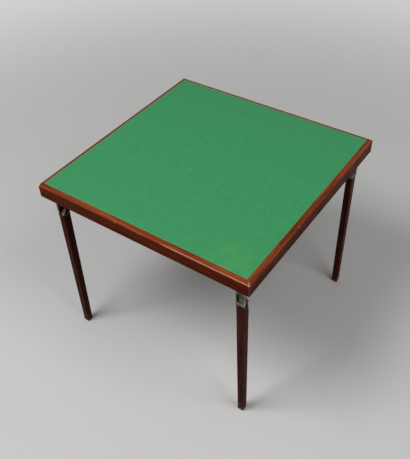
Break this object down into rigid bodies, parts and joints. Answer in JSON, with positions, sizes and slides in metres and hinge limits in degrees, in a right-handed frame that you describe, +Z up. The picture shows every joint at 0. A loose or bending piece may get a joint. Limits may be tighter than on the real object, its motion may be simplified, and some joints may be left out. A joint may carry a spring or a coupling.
{
  "type": "folding game table",
  "caption": "Square folding card table with a green baize top in a mitred wooden frame, on tapered wooden legs that fold flat inside the frame on steel locking hinges.",
  "frame": {"origin": "on the floor, under the middle of the top", "axes": "+Z up; -Y is the front side; the front right leg folds towards -X along the front rail"},
  "size_m": [0.8, 0.8, 0.69],
  "materials": {
    "mahogany": "dark red-brown stain under worn gloss varnish",
    "plywood": "plain sanded plywood",
    "baize": "matt napped wool baize",
    "plated_steel": "aged dull plating, rubbed bright on edges",
    "spring_steel": "blued spring steel",
    "black_enamel": "worn black enamel",
    "glide_steel": "dull, scratched underneath"
  },
  "bodies": {
    "top": {"playing_cloth": "baize", "top_panel": "plywood", "panel_pins": "plated_steel", "bracket_screws": "plated_steel", "rail_front": "mahogany", "rail_right": "mahogany", "rail_back": "mahogany", "rail_left": "mahogany", "mitre_key_front_right": "plywood", "mitre_key_back_right": "plywood", "mitre_key_back_left": "plywood", "mitre_key_front_left": "plywood", "hinge_bracket_front_right": "plated_steel", "hinge_bracket_back_right": "plated_steel", "hinge_bracket_back_left": "plated_steel", "hinge_bracket_front_left": "plated_steel", "pivot_pin_front_right": "plated_steel", "pivot_pin_back_right": "plated_steel", "pivot_pin_back_left": "plated_steel", "pivot_pin_front_left": "plated_steel"},
    "leg_front_right": {"leg_front_right": "mahogany", "leg_channel_front_right": "plated_steel", "pivot_bush_front_right": "plated_steel", "leg_rivets_front_right": "plated_steel", "foot_glide_front_right": "glide_steel", "catch_spring_front_right": "spring_steel"},
    "button_front_right": {"release_button_front_right": "black_enamel"},
    "leg_back_right": {"leg_back_right": "mahogany", "leg_channel_back_right": "plated_steel", "pivot_bush_back_right": "plated_steel", "leg_rivets_back_right": "plated_steel", "foot_glide_back_right": "glide_steel", "catch_spring_back_right": "spring_steel"},
    "button_back_right": {"release_button_back_right": "black_enamel"},
    "leg_back_left": {"leg_back_left": "mahogany", "leg_channel_back_left": "plated_steel", "pivot_bush_back_left": "plated_steel", "leg_rivets_back_left": "plated_steel", "foot_glide_back_left": "glide_steel", "catch_spring_back_left": "spring_steel"},
    "button_back_left": {"release_button_back_left": "black_enamel"},
    "leg_front_left": {"leg_front_left": "mahogany", "leg_channel_front_left": "plated_steel", "pivot_bush_front_left": "plated_steel", "leg_rivets_front_left": "plated_steel", "foot_glide_front_left": "glide_steel", "catch_spring_front_left": "spring_steel"},
    "button_front_left": {"release_button_front_left": "black_enamel"}
  },
  "joints": [
    {"name": "fold_front_right", "type": "hinge", "parent": "top", "child": "leg_front_right", "pos_m": [0.3539, -0.3589, 0.6657], "axis": [0, 1, 0], "range_deg": [0, 90], "deforming": ["catch_spring_front_right"]},
    {"name": "press_front_right", "type": "slide", "parent": "leg_front_right", "child": "button_front_right", "axis": [0, 1, 0], "range_m": [0, 0.002], "stiffness_N_per_m": 900, "springref_m": -0.002, "deforming": ["catch_spring_front_right"]},
    {"name": "fold_back_right", "type": "hinge", "parent": "top", "child": "leg_back_right", "pos_m": [0.3589, 0.3539, 0.6657], "axis": [-1, 0, 0], "range_deg": [0, 90], "deforming": ["catch_spring_back_right"]},
    {"name": "press_back_right", "type": "slide", "parent": "leg_back_right", "child": "button_back_right", "axis": [-1, 0, 0], "range_m": [0, 0.002], "stiffness_N_per_m": 900, "springref_m": -0.002, "deforming": ["catch_spring_back_right"]},
    {"name": "fold_back_left", "type": "hinge", "parent": "top", "child": "leg_back_left", "pos_m": [-0.3539, 0.3589, 0.6657], "axis": [0, -1, 0], "range_deg": [0, 90], "deforming": ["catch_spring_back_left"]},
    {"name": "press_back_left", "type": "slide", "parent": "leg_back_left", "child": "button_back_left", "axis": [0, -1, 0], "range_m": [0, 0.002], "stiffness_N_per_m": 900, "springref_m": -0.002, "deforming": ["catch_spring_back_left"]},
    {"name": "fold_front_left", "type": "hinge", "parent": "top", "child": "leg_front_left", "pos_m": [-0.3589, -0.3539, 0.6657], "axis": [1, 0, 0], "range_deg": [0, 90], "deforming": ["catch_spring_front_left"]},
    {"name": "press_front_left", "type": "slide", "parent": "leg_front_left", "child": "button_front_left", "axis": [1, 0, 0], "range_m": [0, 0.002], "stiffness_N_per_m": 900, "springref_m": -0.002, "deforming": ["catch_spring_front_left"]}
  ]
}
